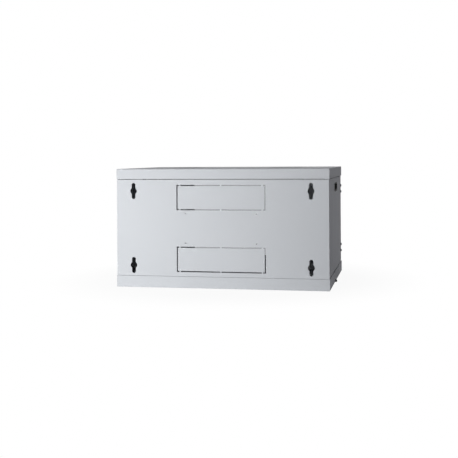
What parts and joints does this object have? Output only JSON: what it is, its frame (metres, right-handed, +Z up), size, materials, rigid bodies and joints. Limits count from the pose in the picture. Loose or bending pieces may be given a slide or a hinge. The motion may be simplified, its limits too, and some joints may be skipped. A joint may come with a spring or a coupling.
{
  "type": "wall mount network cabinet",
  "caption": "Low, wide sheet steel wall cabinet for 19 inch equipment, with a hinged glass door, lift-off side panels, rack rails, keyholes and knock-out cable entries.",
  "frame": {"origin": "on the wall plane, at the middle of the rear panel's face, halfway between the four keyholes", "axes": "+Y towards the wall, +Z up, so the door is at -Y and +X is the right-hand side seen from the door"},
  "size_m": [0.611, 0.4525, 0.332],
  "materials": {
    "powder_coated_steel": "fine textured powder coat",
    "zinc_plated_steel": "satin",
    "black_steel": "satin",
    "black_plastic": "matt",
    "black_rubber": "matt",
    "tinted_glass": "polished",
    "chromed_zinc": "polished"
  },
  "bodies": {
    "cabinet": {"top_cover": "powder_coated_steel", "bottom_cover": "powder_coated_steel", "rear_panel": "powder_coated_steel", "front_upright_left": "powder_coated_steel", "rear_upright_left": "powder_coated_steel", "rail_support_top_left": "zinc_plated_steel", "rail_support_bottom_left": "zinc_plated_steel", "front_upright_right": "powder_coated_steel", "rear_upright_right": "powder_coated_steel", "rail_support_top_right": "zinc_plated_steel", "rail_support_bottom_right": "zinc_plated_steel", "support_screws": "zinc_plated_steel", "support_nuts": "zinc_plated_steel", "edge_screws": "black_steel", "edge_screw_nuts": "zinc_plated_steel", "hinge_leaf_upper": "powder_coated_steel", "hinge_leaf_lower": "powder_coated_steel", "hinge_screws": "powder_coated_steel", "door_bumpers": "black_rubber", "earth_stud": "zinc_plated_steel", "earth_nuts": "zinc_plated_steel", "earth_washer": "zinc_plated_steel"},
    "door": {"door_frame": "powder_coated_steel", "door_glass": "tinted_glass", "glass_gasket": "black_rubber", "glass_retainer_left": "powder_coated_steel", "glass_retainer_right": "powder_coated_steel", "retainer_studs": "zinc_plated_steel", "retainer_nuts": "zinc_plated_steel", "hinge_bracket_upper": "powder_coated_steel", "hinge_bracket_lower": "powder_coated_steel", "hinge_pin_upper": "zinc_plated_steel", "hinge_pin_lower": "zinc_plated_steel", "lock_housing": "chromed_zinc", "lock_nut": "zinc_plated_steel"},
    "lock": {"lock_cylinder": "chromed_zinc", "lock_cam": "zinc_plated_steel", "cam_screw": "zinc_plated_steel"},
    "side_panel_left": {"side_panel_left": "powder_coated_steel", "latch_cup_left": "black_plastic"},
    "latch_left": {"latch_slider_left": "black_plastic"},
    "rack_rail_left": {"rack_rail_left": "zinc_plated_steel", "rail_screws_left": "zinc_plated_steel", "rail_nuts_left": "zinc_plated_steel"},
    "side_panel_right": {"side_panel_right": "powder_coated_steel", "latch_cup_right": "black_plastic"},
    "latch_right": {"latch_slider_right": "black_plastic"},
    "rack_rail_right": {"rack_rail_right": "zinc_plated_steel", "rail_screws_right": "zinc_plated_steel", "rail_nuts_right": "zinc_plated_steel"}
  },
  "joints": [
    {"name": "door_hinge", "type": "hinge", "parent": "cabinet", "child": "door", "pos_m": [-0.29, -0.44, 0], "axis": [0, 0, -1], "range_deg": [0, 110]},
    {"name": "lock_turn", "type": "hinge", "parent": "door", "child": "lock", "pos_m": [0.238, -0.44, 0.00175], "axis": [0, -1, 0], "range_deg": [0, 90]},
    {"name": "side_panel_left_tilt", "type": "hinge", "parent": "cabinet", "child": "side_panel_left", "pos_m": [-0.2976, -0.211, -0.1325], "axis": [0, -1, 0], "range_deg": [0, 20]},
    {"name": "side_panel_right_tilt", "type": "hinge", "parent": "cabinet", "child": "side_panel_right", "pos_m": [0.2976, -0.211, -0.1325], "axis": [0, 1, 0], "range_deg": [0, 20]},
    {"name": "latch_left_slide", "type": "slide", "parent": "side_panel_left", "child": "latch_left", "axis": [0, 0, 1], "range_m": [0, 0.008]},
    {"name": "latch_right_slide", "type": "slide", "parent": "side_panel_right", "child": "latch_right", "axis": [0, 0, 1], "range_m": [0, 0.008]},
    {"name": "rack_rail_left_slide", "type": "slide", "parent": "cabinet", "child": "rack_rail_left", "axis": [0, 1, 0], "range_m": [0, 0.1]},
    {"name": "rack_rail_right_slide", "type": "slide", "parent": "cabinet", "child": "rack_rail_right", "axis": [0, 1, 0], "range_m": [0, 0.1]}
  ]
}
